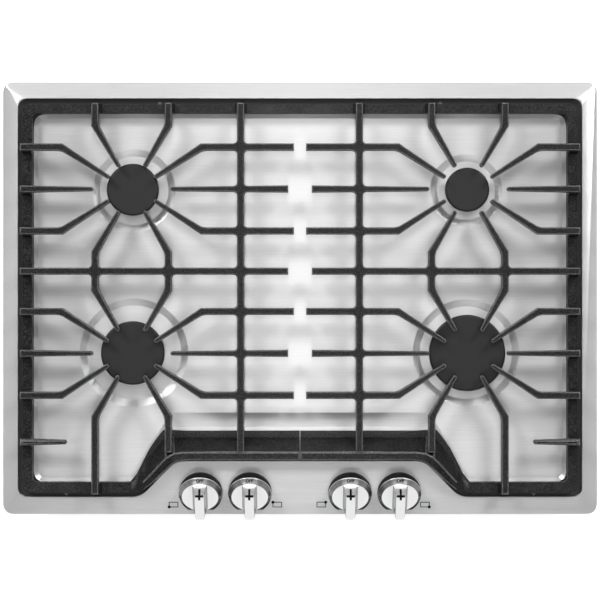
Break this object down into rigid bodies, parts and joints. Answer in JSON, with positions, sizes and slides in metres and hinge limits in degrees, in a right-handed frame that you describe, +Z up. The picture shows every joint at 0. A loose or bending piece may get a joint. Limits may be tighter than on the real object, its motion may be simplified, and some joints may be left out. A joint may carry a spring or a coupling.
{
  "type": "gas cooktop",
  "caption": "Drop-in gas cooktop: drawn steel tray, two lift-off cast-iron grates, sealed burners with loose caps, and tilted push-and-turn knobs in front.",
  "frame": {"origin": "centre of the rim's outline, on the worktop that the rim stands on", "axes": "+X to the right, +Y to the rear, +Z up; the knobs are at the front, towards -Y"},
  "size_m": [0.762, 0.5597, 0.1325],
  "materials": {
    "brushed_steel_sheet": "brushed stainless steel, lines run left to right",
    "foam_seal": "closed-cell foam",
    "galvanised_box": "galvanised sheet",
    "zinc_steel": "zinc-plated steel",
    "cast_iron_enamel": "matte black porcelain enamel with a fine grain",
    "grate_rubber": "matte",
    "burner_aluminium": "die cast, satin",
    "cap_enamel": "matte black enamel",
    "tube_aluminium": "drawn tube",
    "igniter_ceramic": "white alumina",
    "brass": "turned",
    "knob_metal": "satin metal-plated with a bright grip",
    "bezel_metal": "dark satin",
    "valve_casting": "die cast",
    "stem_steel": "turned steel",
    "switch_plastic": "moulded",
    "pipe_steel": "zinc-plated steel pipe",
    "regulator_casting": "die cast",
    "module_plastic": "moulded case",
    "lead_insulation": "silicone sleeving",
    "gland_plastic": "moulded nylon"
  },
  "bodies": {
    "chassis": {"cooktop_panel": "brushed_steel_sheet", "rim_seal": "foam_seal", "burner_box": "galvanised_box", "hold_down_brackets": "zinc_steel", "bracket_screws": "zinc_steel", "box_screws": "zinc_steel", "burner_base_left_rear": "burner_aluminium", "burner_head_left_rear": "burner_aluminium", "supply_tube_left_rear": "tube_aluminium", "burner_base_left_front": "burner_aluminium", "burner_head_left_front": "burner_aluminium", "supply_tube_left_front": "tube_aluminium", "burner_base_right_rear": "burner_aluminium", "burner_head_right_rear": "burner_aluminium", "supply_tube_right_rear": "tube_aluminium", "burner_base_right_front": "burner_aluminium", "burner_head_right_front": "burner_aluminium", "supply_tube_right_front": "tube_aluminium", "igniters": "igniter_ceramic", "gas_jets": "brass", "burner_screws": "zinc_steel", "knob_bezel_left_front": "bezel_metal", "gas_valve_left_front": "valve_casting", "knob_bezel_left_rear": "bezel_metal", "gas_valve_left_rear": "valve_casting", "knob_bezel_right_rear": "bezel_metal", "gas_valve_right_rear": "valve_casting", "knob_bezel_right_front": "bezel_metal", "gas_valve_right_front": "valve_casting", "ignition_switches": "switch_plastic", "manifold_pipe": "pipe_steel", "manifold_brackets": "zinc_steel", "regulator": "regulator_casting", "inlet_fitting": "brass", "ignition_module": "module_plastic", "ignition_leads": "lead_insulation", "power_gland": "gland_plastic"},
    "grate_left": {"grate_left": "cast_iron_enamel", "grate_feet_left": "grate_rubber"},
    "grate_right": {"grate_right": "cast_iron_enamel", "grate_feet_right": "grate_rubber"},
    "cap_left_rear": {"burner_cap_left_rear": "cap_enamel"},
    "cap_left_front": {"burner_cap_left_front": "cap_enamel"},
    "cap_right_rear": {"burner_cap_right_rear": "cap_enamel"},
    "cap_right_front": {"burner_cap_right_front": "cap_enamel"},
    "plug_left_front": {"valve_plug_left_front": "brass"},
    "knob_left_front": {"knob_left_front": "knob_metal", "valve_stem_left_front": "stem_steel"},
    "plug_left_rear": {"valve_plug_left_rear": "brass"},
    "knob_left_rear": {"knob_left_rear": "knob_metal", "valve_stem_left_rear": "stem_steel"},
    "plug_right_rear": {"valve_plug_right_rear": "brass"},
    "knob_right_rear": {"knob_right_rear": "knob_metal", "valve_stem_right_rear": "stem_steel"},
    "plug_right_front": {"valve_plug_right_front": "brass"},
    "knob_right_front": {"knob_right_front": "knob_metal", "valve_stem_right_front": "stem_steel"}
  },
  "joints": [
    {"name": "grate_left_lift", "type": "slide", "parent": "chassis", "child": "grate_left", "axis": [0, 0, 1], "range_m": [0, 0.1]},
    {"name": "grate_right_lift", "type": "slide", "parent": "chassis", "child": "grate_right", "axis": [0, 0, 1], "range_m": [0, 0.1]},
    {"name": "cap_left_rear_lift", "type": "slide", "parent": "chassis", "child": "cap_left_rear", "axis": [0, 0, 1], "range_m": [0, 0.006]},
    {"name": "cap_left_front_lift", "type": "slide", "parent": "chassis", "child": "cap_left_front", "axis": [0, 0, 1], "range_m": [0, 0.006]},
    {"name": "cap_right_rear_lift", "type": "slide", "parent": "chassis", "child": "cap_right_rear", "axis": [0, 0, 1], "range_m": [0, 0.006]},
    {"name": "cap_right_front_lift", "type": "slide", "parent": "chassis", "child": "cap_right_front", "axis": [0, 0, 1], "range_m": [0, 0.006]},
    {"name": "knob_left_front_turn", "type": "hinge", "parent": "chassis", "child": "plug_left_front", "pos_m": [-0.127, -0.2495, 0.0265], "axis": [0, -0.6157, 0.788], "range_deg": [0, 250]},
    {"name": "knob_left_front_push", "type": "slide", "parent": "plug_left_front", "child": "knob_left_front", "axis": [0, 0.6157, -0.788], "range_m": [0, 0.002], "stiffness_N_per_m": 600, "springref_m": -0.004},
    {"name": "knob_left_rear_turn", "type": "hinge", "parent": "chassis", "child": "plug_left_rear", "pos_m": [-0.064, -0.2495, 0.0265], "axis": [0, -0.6157, 0.788], "range_deg": [0, 250]},
    {"name": "knob_left_rear_push", "type": "slide", "parent": "plug_left_rear", "child": "knob_left_rear", "axis": [0, 0.6157, -0.788], "range_m": [0, 0.002], "stiffness_N_per_m": 600, "springref_m": -0.004},
    {"name": "knob_right_rear_turn", "type": "hinge", "parent": "chassis", "child": "plug_right_rear", "pos_m": [0.064, -0.2495, 0.0265], "axis": [0, -0.6157, 0.788], "range_deg": [0, 250]},
    {"name": "knob_right_rear_push", "type": "slide", "parent": "plug_right_rear", "child": "knob_right_rear", "axis": [0, 0.6157, -0.788], "range_m": [0, 0.002], "stiffness_N_per_m": 600, "springref_m": -0.004},
    {"name": "knob_right_front_turn", "type": "hinge", "parent": "chassis", "child": "plug_right_front", "pos_m": [0.127, -0.2495, 0.0265], "axis": [0, -0.6157, 0.788], "range_deg": [0, 250]},
    {"name": "knob_right_front_push", "type": "slide", "parent": "plug_right_front", "child": "knob_right_front", "axis": [0, 0.6157, -0.788], "range_m": [0, 0.002], "stiffness_N_per_m": 600, "springref_m": -0.004}
  ]
}
